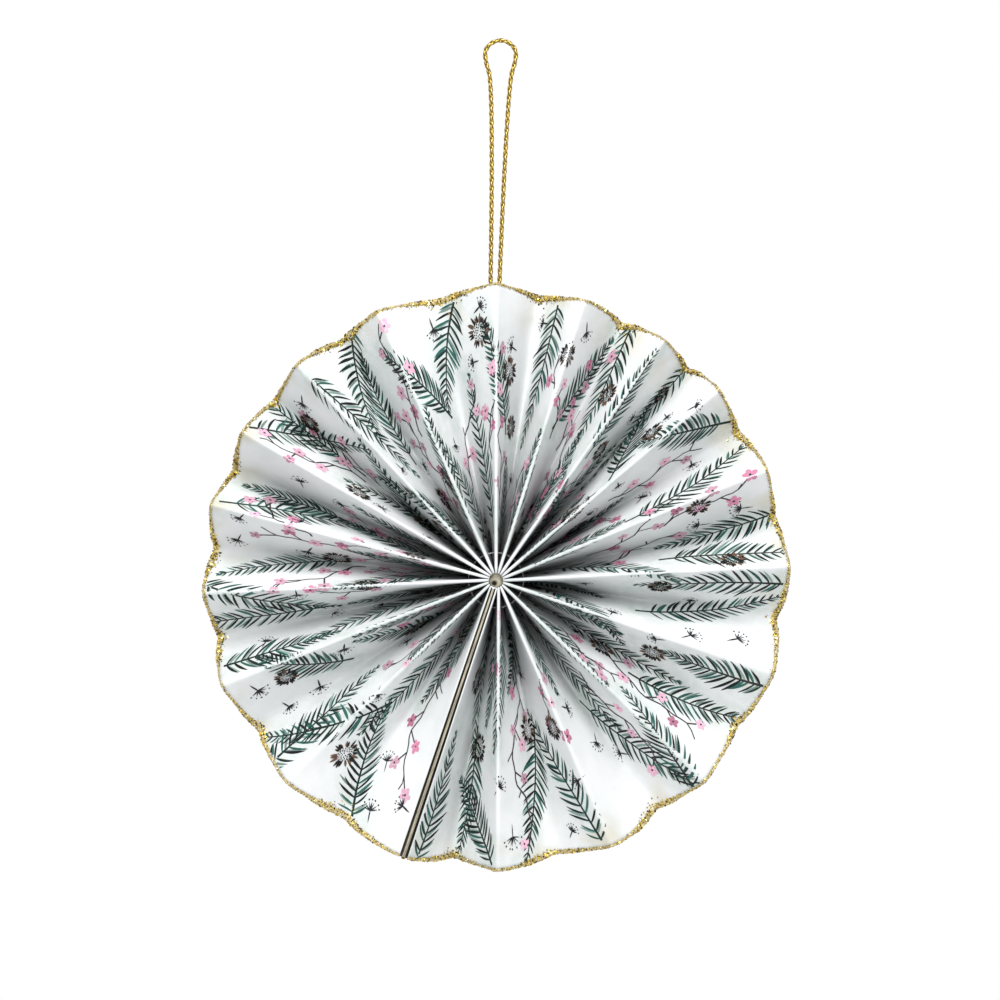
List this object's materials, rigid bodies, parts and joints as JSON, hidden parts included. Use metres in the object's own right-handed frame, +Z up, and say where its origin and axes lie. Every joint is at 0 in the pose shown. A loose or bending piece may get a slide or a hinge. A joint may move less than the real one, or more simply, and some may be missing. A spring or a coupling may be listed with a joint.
{
  "type": "paper fan medallion",
  "caption": "Round pleated paper rosette with a gold glitter edge, gathered at its hub, closed at a seam and hung on a gold cord loop as a decoration.",
  "frame": {"origin": "inside of the top of the cord loop, where the ornament hangs from its hook", "axes": "+Z up along the hanging cord, -Y out of the printed front, +X to the right as seen from the front"},
  "size_m": [0.1498, 0.019, 0.2126],
  "materials": {
    "printed_paper": "matte white paper with a winter greenery print",
    "gold_glitter": "coarse gold glitter",
    "cream_card": "uncoated cream card",
    "white_thread": "fine white thread",
    "set_glue": "set khaki glue",
    "gold_cord": "twisted metallic gold yarn"
  },
  "bodies": {
    "root": {"pleated_paper": "printed_paper", "glitter_edge": "gold_glitter", "end_card_left": "cream_card", "end_card_right": "cream_card", "binding_thread": "white_thread", "centre_glue": "set_glue", "hanging_cord": "gold_cord", "cord_knot": "gold_cord"}
  },
  "joints": []
}
